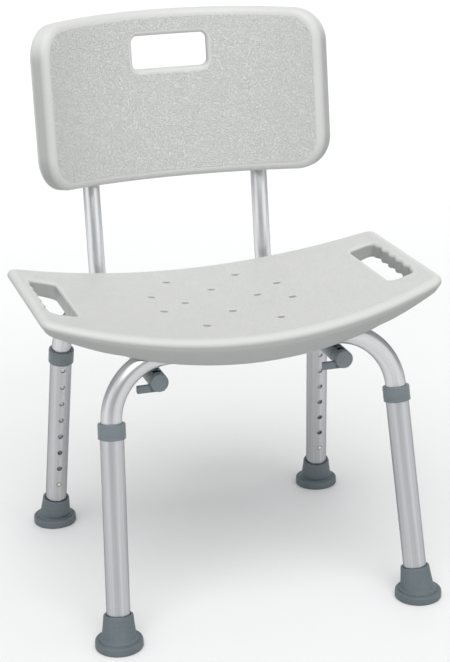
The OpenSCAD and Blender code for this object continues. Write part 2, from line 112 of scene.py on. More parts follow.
class Shape:
    """Gathers vertices and faces, so that one object can hold several closed surfaces."""

    def __init__(self):
        self.verts, self.faces, self.values, self.lay = [], [], [], []

    def add(self, points, faces, value=0.0):
        base = len(self.verts)
        self.verts += [tuple(p) for p in points]
        self.faces += [tuple(i + base for i in f) for f in faces]
        self.values += [value] * len(points)
        self.lay += [(0.0, 0.0, 0.0)] * len(points)
        return base

    def lathe(self, matrix, profile, segments=64, tilt=None):
        """Turns a profile of (radius, height) about +Z; tilt(height) gives a ring's own matrix."""
        rings = []
        for r, h in profile:
            m = tilt(h) if tilt else matrix
            if r < 1e-6:
                rings.append([m @ Vector((0, 0, h))])
            else:
                rings.append([m @ Vector((r * math.cos(2 * math.pi * i / segments),
                                          r * math.sin(2 * math.pi * i / segments), h))
                              for i in range(segments)])
        points, starts = [], []
        for ring in rings:
            starts.append(len(points))
            points += ring
        faces = []
        for a, b, sa, sb in zip(rings, rings[1:], starts, starts[1:]):
            for i in range(segments):
                j = (i + 1) % segments
                if len(a) == 1 and len(b) > 1:
                    faces.append((sa, sb + j, sb + i))
                elif len(b) == 1 and len(a) > 1:
                    faces.append((sa + i, sa + j, sb))
                elif len(a) > 1:
                    faces.append((sa + i, sa + j, sb + j, sb + i))
        self.add(points, faces)

    def block(self, matrix, low, high, bevel=0.8, steps=3):
        """A box whose twelve edges are rounded."""
        low, high = Vector(low), Vector(high)
        centre, half = (low + high) / 2, (high - low) / 2
        bevel = min(bevel, min(half) * 0.98)
        marks = [math.tan(math.pi / 4 * i / steps) for i in range(-steps, steps + 1)]
        signed = [(-1, m) for m in marks[:steps + 1]] + [(1, m) for m in marks[steps:]]
        points, faces, seen = [], [], {}
        for axis in range(3):
            others = [a for a in range(3) if a != axis]
            for sign in (-1, 1):
                rows = []
                for s1, t1 in signed:
                    row = []
                    for s2, t2 in signed:
                        n = [0.0, 0.0, 0.0]
                        n[axis] = sign
                        n[others[0]] = t1 if (t1 < 0) == (s1 < 0) else 0.0
                        n[others[1]] = t2 if (t2 < 0) == (s2 < 0) else 0.0
                        at = [0.0, 0.0, 0.0]
                        at[axis] = sign * (half[axis] - bevel)
                        at[others[0]] = s1 * (half[others[0]] - bevel)
                        at[others[1]] = s2 * (half[others[1]] - bevel)
                        p = centre + Vector(at) + Vector(n).normalized() * bevel
                        key = tuple(round(c, 4) for c in p)
                        if key not in seen:
                            seen[key] = len(points)
                            points.append(matrix @ p)
                        row.append(seen[key])
                    rows.append(row)
                for a in range(len(rows) - 1):
                    for b in range(len(rows[a]) - 1):
                        quad = [rows[a][b], rows[a + 1][b], rows[a + 1][b + 1], rows[a][b + 1]]
                        if (sign > 0) == (axis == 1):
                            quad.reverse()
                        trimmed = list(dict.fromkeys(quad))
                        if len(trimmed) > 2:
                            faces.append(tuple(trimmed))
        self.add(points, faces)

    def sweep(self, path, normal, radius, inner, segments=48):
        """A round tube along a path in the plane that the normal stands on, open at its ends."""
        tangents = [(path[min(i + 1, len(path) - 1)] - path[max(i - 1, 0)]).normalized()
                    for i in range(len(path))]
        ends, run = [], [0.0]
        for a, b in zip(path, path[1:]):
            run.append(run[-1] + (b - a).length)
        for r, way in ((radius, 1), (inner, -1)):
            points = []
            for p, t in zip(path, tangents):
                side = t.cross(normal).normalized()
                up = side.cross(t).normalized()
                points += [p + side * (r * math.cos(2 * math.pi * i / segments))
                           + up * (r * math.sin(2 * math.pi * i / segments))
                           for i in range(segments)]
            faces = []
            for k in range(len(path) - 1):
                for i in range(segments):
                    j = (i + 1) % segments
                    quad = (k * segments + i, k * segments + j,
                            (k + 1) * segments + j, (k + 1) * segments + i)
                    faces.append(quad if way > 0 else quad[::-1])
            ends.append(self.add(points, faces))
            self.lay[-len(points):] = [
                (r * MM * math.cos(2 * math.pi * i / segments),
                 r * MM * math.sin(2 * math.pi * i / segments), d * MM)
                for d in run for i in range(segments)]
        last = (len(path) - 1) * segments
        for i in range(segments):
            j = (i + 1) % segments
            self.faces.append((ends[0] + j, ends[0] + i, ends[1] + i, ends[1] + j))
            self.faces.append((ends[0] + last + i, ends[0] + last + j,
                               ends[1] + last + j, ends[1] + last + i))

    def barrel(self, matrix, heights, angles, radius, caps):
        """A turned body whose radius(angle, height) may step in to form a recess."""
        rings = [[matrix @ Vector((radius(a, h) * math.cos(a), radius(a, h) * math.sin(a), h))
                  for a in angles] for h in heights]
        n = len(angles)
        faces = [(k * n + i, k * n + (i + 1) % n, (k + 1) * n + (i + 1) % n, (k + 1) * n + i)
                 for k in range(len(rings) - 1) for i in range(n)]
        if caps:
            faces += [tuple(reversed(range(n))), tuple(range((len(rings) - 1) * n, len(rings) * n))]
        self.add([p for ring in rings for p in ring], faces)

    def build(self, name, material, key=None):
        # the grain attribute also carries painted shade, as negative values on rims and walls
        values = {"grain": self.values, "lay": self.lay}
        return make_object(name, self.verts, self.faces, material,
                           attributes={key: values[key]} if key else None)


def arc(cx, cy, r, a0, a1, n, ends=True):
    """Points on an arc in n steps, with or without its two ends."""
    ks = range(n + 1) if ends else range(1, n)
    return [(cx + r * math.cos(a0 + (a1 - a0) * k / n), cy + r * math.sin(a0 + (a1 - a0) * k / n))
            for k in ks]


def arched_loop(half, top, r_top, low, r_low, corner, inset, edge=110, turn=12, side=24):
    """A rounded panel's outline, drawn in by a distance: arched at the top and the bottom."""
    cx, rc = half - corner, corner - inset
    ct = top - r_top + math.sqrt((r_top - corner) ** 2 - cx * cx)
    cb = low + r_low - math.sqrt((r_low - corner) ** 2 - cx * cx)
    at = math.atan2(ct - top + r_top, cx)
    ab = math.atan2(low + r_low - cb, cx)
    return ([(half - inset, cb + (ct - cb) * i / side) for i in range(1, side)]
            + arc(cx, ct, rc, 0, at, turn)
            + arc(0, top - r_top, r_top - inset, at, math.pi - at, edge, False)
            + arc(-cx, ct, rc, math.pi - at, math.pi, turn)
            + [(inset - half, ct + (cb - ct) * i / side) for i in range(1, side)]
            + arc(-cx, cb, rc, math.pi, math.pi + ab, turn)
            + arc(0, low + r_low, r_low - inset, math.pi + ab, 2 * math.pi - ab, edge, False)
            + arc(cx, cb, rc, 2 * math.pi - ab, 2 * math.pi, turn))


def slot_loop(cx, cy, w, h, r, inset, waves=None, turn=8, across=16, along=60):
    """A rounded rectangle grown by a distance; waves(y) pushes its outer wall out."""
    a, b, rr = w / 2 + inset, h / 2 + inset, r + inset
    pts = []
    for q, (sx, sy) in enumerate(((1, 1), (-1, 1), (-1, -1), (1, -1))):
        pts += arc(cx + sx * (a - rr), cy + sy * (b - rr), rr, q * math.pi / 2,
                   (q + 1) * math.pi / 2, turn)
        n = across if q % 2 == 0 else along
        x0, y0 = pts[-1]
        x1, y1 = ((cx - a + rr, cy + b), (cx - a, cy - b + rr),
                  (cx + a - rr, cy - b), (cx + a, cy + b - rr))[q]
        pts += [(x0 + (x1 - x0) * i / n, y0 + (y1 - y0) * i / n) for i in range(1, n)]
    if waves:
        pts = [(x + waves(x - cx, y - cy), y) for x, y in pts]
    return pts


HOLE_POINTS = 28                           # a loop of so few points is a drain hole
RIM_CLEARANCE = 2.2                        # between the rims and the flat's grid of points


def ring_loop(cx, cy, r, inset):
    """A small round hole, grown by a distance."""
    turns = [2 * math.pi * i / HOLE_POINTS for i in range(HOLE_POINTS)]
    return [(cx + (r + inset) * math.cos(t), cy + (r + inset) * math.sin(t)) for t in turns]


def inside(points, loop):
    """Which points lie in a closed loop."""
    x, y = points[:, 0][:, None], points[:, 1][:, None]
    a = np.array(loop)
    b = np.roll(a, -1, 0)
    crosses = (a[:, 1] > y) != (b[:, 1] > y)
    with np.errstate(divide="ignore", invalid="ignore"):
        at = (b[:, 0] - a[:, 0]) * (y - a[:, 1]) / (b[:, 1] - a[:, 1]) + a[:, 0]
    return (np.sum(crosses & (x < at), axis=1) % 2) == 1


def rim(r):
    """A rounded rim's rings: how far each is drawn in, how far it drops, and its grain (negative:
    painted shade).
    """
    rings = [(r * (1 - math.cos(t)), r * (1 - math.sin(t)), -(1 - math.sin(t)) ** 1.5)
             for t in np.linspace(0, math.pi / 2, 9 if r > 3 else 5)]
    return rings + ([(r + 0.4, 0.0, 0.4), (r + 1.4, 0.0, 1.0)] if r > 3 else [(r + 0.4, 0.0, 1.0)])


def shell_plate(shape, edges, grid, place, walls=4, grain=(1.0, 1.0)):
    """A moulded plate with rounded rims.

    edges is a list of (loop function of inset, (front rim, rear rim)), the outline first and
    then the openings, where a rim is a radius or a list of rings. place(u, v, side, drop)
    gives a point on a side's face, dropped under it by a distance. grain is how strong each
    side's grain is. The mesh keeps it as an attribute, which is negative on rims and walls,
    where its size is how strong their painted shade is.
    """
    rims = {}
    for side in (0, 1):
        flat = []
        for number, (loop, radii) in enumerate(edges):
            levels = radii[side] if isinstance(radii[side], list) else rim(radii[side])
            starts = []
            for inset, drop, g in levels:
                points = loop(inset)
                starts.append(shape.add([place(u, v, side, drop) for u, v in points], []))
                # painted shade on rims: full on the outline and the hand slots, a quarter on drain
                # holes
                shade = 1.0 if len(points) > HOLE_POINTS else 0.25
                value = g * grain[side] if g > 0 else g * shade
                shape.values[-len(points):] = [value] * len(points)
            n = len(points)
            turn = (side == 0) == (number == 0)
            for a, b in zip(starts, starts[1:]):
                for i in range(n):
                    j = (i + 1) % n
                    quad = (a + i, a + j, b + j, b + i)
                    shape.faces.append(quad if turn else quad[::-1])
            rims[side, number] = (starts[0], n)
            flat.append((points, starts[-1]))
        # the flat inside of the rims
        grid_points = np.array(grid(side))
        keep = inside(grid_points, flat[0][0])
        for number, (points, _) in enumerate(flat):
            if number:
                keep &= ~inside(grid_points, points)
            near = np.array([np.min(np.hypot(*(np.array(points) - p).T)) for p in grid_points])
            keep &= near > RIM_CLEARANCE
        grid_points = grid_points[keep]
        known = [p for points, _ in flat for p in points]
        index = [start + i for points, start in flat for i in range(len(points))]
        base = shape.add([place(u, v, side, 0.0) for u, v in grid_points], [], grain[side])
        index += [base + i for i in range(len(grid_points))]
        rings, at = [], 0
        for points, _ in flat:
            rings += [(at + i, at + (i + 1) % len(points)) for i in range(len(points))]
            at += len(points)
        coords = [Vector(p) for p in known] + [Vector(p) for p in grid_points]
        out, _, tris, source, _, _ = delaunay_2d_cdt(coords, rings, [], 0, 1e-5)
        tris = np.array([t for t in tris if len(t) == 3])
        where = np.array([tuple(v) for v in out])
        middle = where[tris].mean(1)
        good = inside(middle, flat[0][0])
        for points, _ in flat[1:]:
            good &= ~inside(middle, points)
        for t in tris[good]:
            face = [index[source[i][0]] for i in t]
            p, q, s = (where[i] for i in t)
            ccw = (q[0] - p[0]) * (s[1] - p[1]) - (q[1] - p[1]) * (s[0] - p[0]) > 0
            shape.faces.append(tuple(face if ccw == (side == 0) else face[::-1]))
    # the walls between the two sides
    for number in range(len(edges)):
        (front, n), (rear, _) = rims[0, number], rims[1, number]
        rows = [front]
        for k in range(1, walls):
            points = [Vector(shape.verts[front + i]).lerp(Vector(shape.verts[rear + i]), k / walls)
                      for i in range(n)]
            # painted shade on walls: full, or a quarter round drain holes
            rows.append(shape.add(points, [], -1.0 if n > HOLE_POINTS else -0.25))
        rows.append(rear)
        for a, b in zip(rows, rows[1:]):
            for i in range(n):
                j = (i + 1) % n
                quad = (a + j, a + i, b + i, b + j)
                shape.faces.append(quad if number == 0 else quad[::-1])


# ---- materials ----
class Nodes:
    """Builds a procedural material around a Principled BSDF."""

    def __init__(self, name):
        self.mat = bpy.data.materials.new(name)
        self.mat.use_nodes = True
        self.tree = self.mat.node_tree
        self.bsdf = self.tree.nodes["Principled BSDF"]
        self.coord = self.tree.nodes.new("ShaderNodeTexCoord")

    def link(self, source, target):
        self.tree.links.new(source, target)

    def new(self, kind, links=None, **values):
        n = self.tree.nodes.new(kind)
        for key, value in values.items():
            if key in n.inputs:
                n.inputs[key].default_value = value
            else:
                setattr(n, key, value)
        for key, source in (links or {}).items():
            self.link(source, n.inputs[key])
        return n

    def scaled(self, scale, vector):
        return self.new("ShaderNodeMapping", {"Vector": vector}, Scale=scale).outputs[0]

    def within(self, matrix):
        """Coordinates in a piece's own frame, so that a pattern can follow its axis."""
        n = self.new("ShaderNodeMapping", {"Vector": self.coord.outputs["Object"]},
                     vector_type="TEXTURE")
        n.inputs["Location"].default_value = matrix.translation * MM
        n.inputs["Rotation"].default_value = matrix.to_euler()
        return n.outputs[0]

    def noise(self, scale, detail=3.0, rough=0.5, distortion=0.0, vector=None):
        n = self.new("ShaderNodeTexNoise", {"Vector": vector or self.coord.outputs["Object"]},
                     Scale=scale, Detail=detail, Roughness=rough, Distortion=distortion)
        return n.outputs["Fac"]

    def math(self, operation, a, b=None):
        n = self.new("ShaderNodeMath", operation=operation)
        for i, value in enumerate((a, b)):
            if value is None:
                continue
            if isinstance(value, (int, float)):
                n.inputs[i].default_value = value
            else:
                self.link(value, n.inputs[i])
        return n.outputs[0]

    def ramp(self, value, low, high, to_low=0.0, to_high=1.0):
        n = self.new("ShaderNodeMapRange", {"Value": value}, interpolation_type="SMOOTHSTEP")
        limits = (("From Min", low), ("From Max", high), ("To Min", to_low), ("To Max", to_high))
        for key, v in limits:
            n.inputs[key].default_value = v
        return n.outputs[0]

    def mix(self, factor, a, b):
        n = self.new("ShaderNodeMix", data_type="RGBA")
        self.link(factor, n.inputs[0])
        for i, colour in ((6, a), (7, b)):
            if isinstance(colour, tuple):
                n.inputs[i].default_value = (*colour, 1)
            else:
                self.link(colour, n.inputs[i])
        return n.outputs[2]

    def attribute(self, name):
        return self.new("ShaderNodeAttribute", attribute_name=name).outputs["Fac"]

    def bump(self, height, distance, strength=1.0, normal=None):
        n = self.new("ShaderNodeBump", {"Height": height}, Distance=distance, Strength=strength)
        if normal:
            self.link(normal, n.inputs["Normal"])
        return n.outputs[0]

    def rounded(self, radius):
        return self.new("ShaderNodeBevel", samples=4, Radius=radius).outputs[0]

    def sum(self, a, b, share=0.5):
        """Two patterns added, the first with its share and the second with the rest."""
        return self.math("ADD", self.math("MULTIPLY", a, share),
                         self.math("MULTIPLY", b, 1 - share))

    def finish(self, colour, roughness, normal=None, **values):
        for key, source in (("Base Color", colour), ("Roughness", roughness), ("Normal", normal)):
            if source is None:
                continue
            if isinstance(source, float):
                self.bsdf.inputs[key].default_value = source
            else:
                self.link(source, self.bsdf.inputs[key])
        for key, value in values.items():
            self.bsdf.inputs[key.replace("_", " ")].default_value = value
        return self.mat


def shell_material(name, leather):
    """Moulded plastic: embossed on the back panel, finely pebbled on the seat.

    Rims and walls that don't face up are darkened: that is painted shade, the same from
    every side, where the photo's skirt is darker than its top.
    """
    m = Nodes(name)
    # the grain attribute: where positive, the grain's strength; where negative, on rims and walls,
    # the strength of painted shade
    face = m.attribute("grain")
    grain = m.math("MAXIMUM", face, 0.0)
    wall = m.math("MAXIMUM", m.math("MULTIPLY", face, -1.0), 0.0)
    if leather:
        crease = m.math("ABSOLUTE", m.math("SUBTRACT", m.noise(370, 0.3, 0.5, 0.6), 0.5))
        pattern = m.ramp(crease, 0.0, 0.11)
        depth = 0.0006
    else:
        v = m.new("ShaderNodeTexVoronoi", {"Vector": m.coord.outputs["Object"]},
                  feature="SMOOTH_F1", Scale=520.0, Smoothness=0.6, Randomness=1.0)
        cells = m.math("ADD", v.outputs["Distance"], m.math("MULTIPLY", m.noise(900), 0.35))
        pattern = m.ramp(cells, 0.2, 0.75, 1.0, 0.0)
        depth = 0.00045
    height = m.math("MULTIPLY", pattern, grain)
    fine = m.bump(m.noise(1500, 2.0), 0.00006, 0.35)
    normal = m.bump(height, depth, 0.9, fine)
    tone = m.sum(m.noise(9, 2.0), m.noise(420, 3.0))
    base, blue = (0.65, 0.99) if leather else (0.63, 0.985)
    colour = m.mix(m.ramp(tone, 0.3, 0.7), (0.97 * base, 0.98 * base, 0.955 * base),
                   (base, base * 1.008, base * blue))
    # painted shade: the pattern's hollows are tinted darker
    hollow = m.math("MULTIPLY", m.math("SUBTRACT", 1.0, pattern), grain)
    colour = m.mix(m.math("MULTIPLY", hollow, 0.06 if leather else 0.10), colour,
                   (0.36, 0.365, 0.355))
    # painted shade: rims and walls are darkened more the less they face up
    up = m.new("ShaderNodeSeparateXYZ", {0: m.coord.outputs["Normal"]}).outputs["Z"]
    shade = m.math("MULTIPLY", wall, m.ramp(up, -0.1, 0.75, 0.5, 0.0))
    colour = m.mix(shade, colour, (0.10, 0.105, 0.105))
    rough = m.ramp(m.noise(60, 3.0), 0.3, 0.7, 0.42, 0.52)
    return m.finish(colour, rough, normal, Specular_IOR_Level=0.42)


def aluminium(name, base, rough, streaks, matrix=None):
    """Drawn anodised tube with fine lengthwise draw lines."""
    m = Nodes(name)
    if matrix:
        along = m.within(matrix)
    else:
        along = m.new("ShaderNodeAttribute", attribute_name="lay").outputs["Vector"]
    drawn = m.noise(1.0, 3.0, 0.6, 0.0, m.scaled((520, 520, 2.5), along))
    broad = m.noise(1.0, 2.0, 0.5, 0.0, m.scaled((130, 130, 1.2), along))
    tone = m.sum(drawn, broad, streaks)
    light, dark = tuple(min(1.0, c * 1.06) for c in base), tuple(c * 0.88 for c in base)
    colour = m.mix(m.ramp(tone, 0.35, 0.65), dark, light)
    roughness = m.ramp(broad, 0.3, 0.7, rough - 0.04, rough + 0.05)
    normal = m.bump(drawn, 0.00003, 0.2)
    return m.finish(colour, roughness, normal, Metallic=1.0, Specular_Tint=(0.3, 0.3, 0.31, 1))


def grey_plastic(name, dark, light, rough, grain=700.0):
    """Satin moulded plastic or rubber with a slight mottle."""
    m = Nodes(name)
    mottled = m.ramp(m.sum(m.noise(30), m.noise(500)), 0.3, 0.7)
    normal = m.bump(m.noise(grain, 2.0), 0.00008, 0.4, m.rounded(0.0005))
    roughness = m.ramp(m.noise(80), 0.3, 0.7, rough - 0.05, rough + 0.07)
    return m.finish(m.mix(mottled, dark, light), roughness, normal, Specular_IOR_Level=0.4)


def plain_metal(name, dark, light, rough):
    """Small metal parts, slightly uneven in colour and gloss."""
    m = Nodes(name)
    colour = m.mix(m.ramp(m.noise(260, 4.0), 0.3, 0.7), dark, light)
    roughness = m.ramp(m.noise(420, 3.0), 0.3, 0.7, rough - 0.07, rough + 0.08)
    normal = m.bump(m.noise(900), 0.00004, 0.4, m.rounded(0.0003))
    return m.finish(colour, roughness, normal, Metallic=1.0)


M_PANEL = shell_material("moulded_panel", True)
M_SEAT = shell_material("moulded_seat", False)
M_LEGS = {corner: aluminium("satin_tube_" + corner, (0.58, 0.59, 0.605), 0.38, 0.45,
                            leg_matrix(sx, sy)) for corner, sx, sy in CORNERS}
# painted shade: the frame's tubes and the back tubes are one aluminium, and the frame's copy is set
# darker
M_FRAME = aluminium("polished_tube", (0.68, 0.685, 0.695), 0.34, 0.5)
M_BACK = aluminium("back_tube", (0.84, 0.845, 0.855), 0.34, 0.4)
M_GREY = grey_plastic("grey_plastic", (0.145, 0.175, 0.188), (0.18, 0.212, 0.226), 0.42)
M_RUBBER = grey_plastic("foot_rubber", (0.108, 0.134, 0.147), (0.135, 0.165, 0.180), 0.58, 900.0)
# nearly black: painted shade in the locks' slots
M_SLOT_SHADE = grey_plastic("slot_shade", (0.012, 0.013, 0.014), (0.02, 0.022, 0.024), 0.6)
M_BRASS = plain_metal("button_brass", (0.38, 0.31, 0.18), (0.56, 0.48, 0.32), 0.33)
M_CENTRE = plain_metal("button_centre", (0.80, 0.79, 0.74), (0.88, 0.87, 0.83), 0.3)
M_STEEL = plain_metal("zinc_steel", (0.46, 0.465, 0.47), (0.60, 0.60, 0.61), 0.36)
M_SPRING = plain_metal("spring_steel", (0.30, 0.31, 0.32), (0.46, 0.47, 0.48), 0.32)

# ---- seat ----
SEAT_RISE, SEAT_THICK, SEAT_END_THICK = 38, 31, 17
TOP_R = arc_r(SEAT_HALF, SEAT_RISE)
LOW_Z, LOW_R = SEAT_Z - SEAT_THICK, arc_r(SEAT_HALF, SEAT_RISE + SEAT_THICK - SEAT_END_THICK)
EDGE_R = arc_r(SEAT_HALF, (SEAT_DEPTH - SEAT_END) / 2)
SKIRT = 3.0                                # the rim hangs a little under the seat
# the skirt's rings: how far each is drawn in, how far it drops, how strong its grain is (negative:
# how strong its painted shade is)
SKIRT_RINGS = [(0.0, 20.0, -1.0), (0.2, 19.0, -1.0), (0.6, 17.4, -1.0), (1.8, 13.3, -1.0),
               (3.0, 9.3, -1.0), (4.4, 4.8, -1.0), (4.9, 3.3, -1.0), (5.5, 1.9, -1.0),
               (6.3, 0.9, -0.8), (7.3, 0.2, -0.6), (8.3, 0.0, -0.4), (9.4, 0.0, 0.0),
               (10.8, 0.0, 1.0)]
RUN_GROOVE = 13.3                          # radius of the grooves over the frames' cross runs
HAND_X, HAND_W, HAND_H, HAND_CORNER = 214.5, 33, 144, 9
FINGERS, FINGER_PITCH, FINGER_DEPTH = 5, 24, 2.6
FINGER_END = FINGERS * FINGER_PITCH / 2
DRAIN_R = 4.75
DRAINS = ((46.9, 94), (46.9, -94), (0, 47), (0, -47), (83.4, 31), (83.4, -31), (47.5, 1))


def seat_face(u, v, side, drop):
    """A point of the seat: side 0 is its top, side 1 its underside with the tube grooves."""
    y = v + SEAT_CY + SHIFT
    if side == 0:
        return (u, y, SEAT_Z + TOP_R - math.sqrt(TOP_R ** 2 - u * u) - drop)
    thick = SEAT_THICK - (SEAT_THICK - SEAT_END_THICK) * (u / SEAT_HALF) ** 2
    z = LOW_Z + LOW_R - math.sqrt(LOW_R ** 2 - u * u) + drop * min(1.0, (thick - 9.2) / 22)
    to_edge = SEAT_DEPTH / 2 - EDGE_R + math.sqrt(EDGE_R ** 2 - u * u) - abs(v)
    z -= SKIRT * (1 - (u / SEAT_HALF) ** 2) * min(1.0, max(0.0, (12.4 - to_edge) / 3))
    off = abs(abs(v + SEAT_CY) - RUN_Y)
    if off < RUN_GROOVE:
        z = max(z, RUN_Z + math.sqrt(max(0.0, RUN_GROOVE ** 2 - off * off)))
    return (u, y, z)


def seat_grid(side):
    """The flats' grid of points, closer together across the grooves underneath."""
    xs = np.arange(-248, 248.1, 8.0)
    ys = list(np.arange(-152, 152.1, 8.0))
    if side:
        half = (3, 6, 9, 11.5, 12.8, 13.25, 13.35, 14.2)
        rows = [-d for d in reversed(half)] + [0] + list(half)
        runs = [s * RUN_Y - SEAT_CY for s in (-1, 1)]
        ys = [y for y in ys if all(abs(y - r) > 16 for r in runs)]
        ys += [r + d for r in runs for d in rows]
    return [(x, y) for x in xs for y in ys]


def finger_waves(half_w, side):
    """Five shallow finger hollows in the outer wall of a hand slot."""
    def push(x, y):
        if side * x < half_w - 0.5 or abs(y) > FINGER_END:
            return 0.0
        turn = 2 * math.pi * (y + FINGER_END) / FINGER_PITCH
        return side * FINGER_DEPTH * (0.5 - 0.5 * math.cos(turn))
    return push


seat = Shape()
seat_edges = [
    (lambda d: arched_loop(SEAT_HALF, SEAT_DEPTH / 2, EDGE_R, -SEAT_DEPTH / 2, EDGE_R, 18, d),
     (9.0, SKIRT_RINGS))]
for s in (-1, 1):
    seat_edges.append((lambda d, s=s: slot_loop(s * HAND_X, 0, HAND_W, HAND_H, HAND_CORNER, d,
                                                finger_waves(HAND_W / 2 + d, s)), (4.0, 2.5)))
for x, y in DRAINS:
    for s in ((-1, 1) if x else (1,)):
        seat_edges.append((lambda d, x=s * x, y=y: ring_loop(x, y, DRAIN_R, d), (1.4, 0.8)))
shell_plate(seat, seat_edges, seat_grid, seat_face, grain=(1.0, 0.35))
# pads under the seat for the lock bodies, the back guides and the clips
PAD_Z, HOUSING_Y, GUIDE_Y = 333.0, (-95, -67), (71, 101)
CLIP_X, CLIP_Y = 60, 100.0
for s in (-1, 1):
    for y0, y1 in (HOUSING_Y, GUIDE_Y):
        for a, b in ((-29, 0), (0, 29)):
            lift = (s * BACK_X + (a + b) / 2) ** 2 / (2 * LOW_R)
            seat.block(Matrix.Translation((s * BACK_X, SHIFT, 0)), (a, y0, PAD_Z),
                       (b, y1, LOW_Z + lift + 8), 1.2)
    for t in (-1, 1):
        seat.block(Matrix.Translation((s * CLIP_X, t * CLIP_Y + SHIFT, 0)),
                   (-15, -10.5, 328), (15, 14.5, 338), 1.0)
seat_obj = seat.build("seat", M_SEAT, "grain")
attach(seat_obj, "frame")
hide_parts("seat_shell")

# ---- back panel ----
PANEL_R, PANEL_T = 255.0, 26.0
PANEL_LOW, PANEL_TOP, PANEL_CORNER = 114.0, 336.0, 45
TUBE_GROOVE = 11.4                         # radius of the back tubes' grooves in the panel
PANEL_HALF = math.asin(200.0 / (PANEL_R + PANEL_T / 2)) * PANEL_R
PANEL_APEX = PANEL_R - math.sqrt(PANEL_R ** 2 - BACK_X ** 2) - 11.1 - PANEL_T / 2 + 3
HANDLE_W, HANDLE_H = 2 * PANEL_R * math.asin(53.0 / PANEL_R), 44
HANDLE_V = PANEL_TOP - 33 - 22             # the handle slot's middle
TUBE_TOP = PANEL_TOP - 24


def panel_face(u, v, side, drop):
    """A point of the panel: side 0 faces the user, side 1 the back, with the tubes' grooves."""
    r = PANEL_R + (-PANEL_T / 2 + drop if side == 0 else PANEL_T / 2 - drop)
    x = r * math.sin(u / PANEL_R)
    y = PANEL_APEX - PANEL_R + r * math.cos(u / PANEL_R)
    off = abs(abs(x) - BACK_X)
    if side and off < TUBE_GROOVE and v < TUBE_TOP + 5:
        y = min(y, -math.sqrt(TUBE_GROOVE ** 2 - off * off))
    return BACK @ Vector((x, y, v))


def panel_grid(side):
    """The flats' grid of points, closer together across the grooves at the back."""
    us = list(np.arange(-210, 210.1, 7.0))
    vs = list(np.arange(PANEL_LOW + 4, PANEL_TOP, 7.0))
    if side:
        tube = PANEL_R * math.asin(BACK_X / PANEL_R)
        half = (2.5, 5, 7.5, 9.5, 10.8, 11.6, 12.4, 13.5)
        cols = [-d for d in reversed(half)] + [0] + list(half)
        us = [u for u in us if abs(abs(u) - tube) > 15]
        us += [s * (tube + d) for s in (-1, 1) for d in cols]
        vs = [v for v in vs if abs(v - TUBE_TOP - 5) > 4] + [TUBE_TOP + 4.9, TUBE_TOP + 5.3]
    return [(u, v) for u in us for v in vs]


panel = Shape()
ARCH_R, BOW_R = arc_r(PANEL_HALF, 12), arc_r(PANEL_HALF, 3)
panel_edges = [
    (lambda d: arched_loop(PANEL_HALF, PANEL_TOP, ARCH_R, PANEL_LOW, BOW_R, PANEL_CORNER, d,
                           130, 16, 30), (9.5, 7.0)),
    (lambda d: slot_loop(0, HANDLE_V, HANDLE_W, HANDLE_H, 9, d, None, 8, 36, 14), (5.5, 4.0))]
shell_plate(panel, panel_edges, panel_grid, panel_face, 5, (1.0, 0.25))
panel_obj = panel.build("back_rest", M_PANEL, "grain")
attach(panel_obj, "backrest")
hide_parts("back_panel")

# ---- bent tubes ----
TUBE_WALL = 1.25
FRAME_R, BEND = 12.7, 76.0
FRAME_END = 46                             # where the frame tube ends inside a leg, up the leg
TURN = math.pi / 2 - SPLAY
TANGENT = BEND * math.tan(TURN / 2)
BEND_X = FOOT_X - RUN_V * math.tan(SPLAY) - TANGENT
half_path = [Vector((FOOT_X - FRAME_END * math.sin(SPLAY), 0, FRAME_END * math.cos(SPLAY)))]
half_path += [Vector((BEND_X + BEND * math.cos(a), 0, RUN_V - BEND + BEND * math.sin(a)))
              for a in np.linspace(SPLAY, math.pi / 2, 37)]
whole = half_path + [Vector((-p.x, 0, p.z)) for p in reversed(half_path)]
for name, sy in (("front_leg_frame", -1), ("rear_leg_frame", 1)):
    plane = plane_matrix(sy)
    across = (plane.to_3x3() @ Vector((0, 1, 0))).normalized()
    tube = Shape()
    tube.sweep([plane @ p for p in whole], across, FRAME_R, FRAME_R - TUBE_WALL)
    obj = tube.build("bent_" + name, M_FRAME, "lay")
    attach(obj, "frame")
    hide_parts(name)

BACK_R, BACK_BEND, LEVEL_Z = 11.1, 60.0, 305.3
CORNER_Y = BACK_Y + (LEVEL_Z - SEAT_Z) * math.tan(RECLINE)
LEVEL_END = CORNER_Y - BACK_BEND * math.tan((math.pi / 2 - RECLINE) / 2)
for name, s in SIDES:
    path = [Vector((s * BACK_X, -70 + SHIFT, LEVEL_Z))]
    path += [Vector((s * BACK_X, LEVEL_END + SHIFT + BACK_BEND * math.sin(a),
                     LEVEL_Z + BACK_BEND * (1 - math.cos(a))))
             for a in np.linspace(0, math.pi / 2 - RECLINE, 31)]
    path.append(BACK @ Vector((s * BACK_X, 0, TUBE_TOP)))
    tube = Shape()
    tube.sweep(path, Vector((1, 0, 0)), BACK_R, BACK_R - TUBE_WALL)
    obj = tube.build("bent_back_tube_" + name, M_BACK, "lay")
    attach(obj, "backrest")
    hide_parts("back_tube_" + name)

# ---- feet, collars and buttons ----
COLLAR_H, FIRST_HOLE = 253, 68             # up the leg: the collar's lower edge, the lowest hole
CENTRE_R, CENTRE_H = 2.05, 14.9            # the bright middle of a button's end
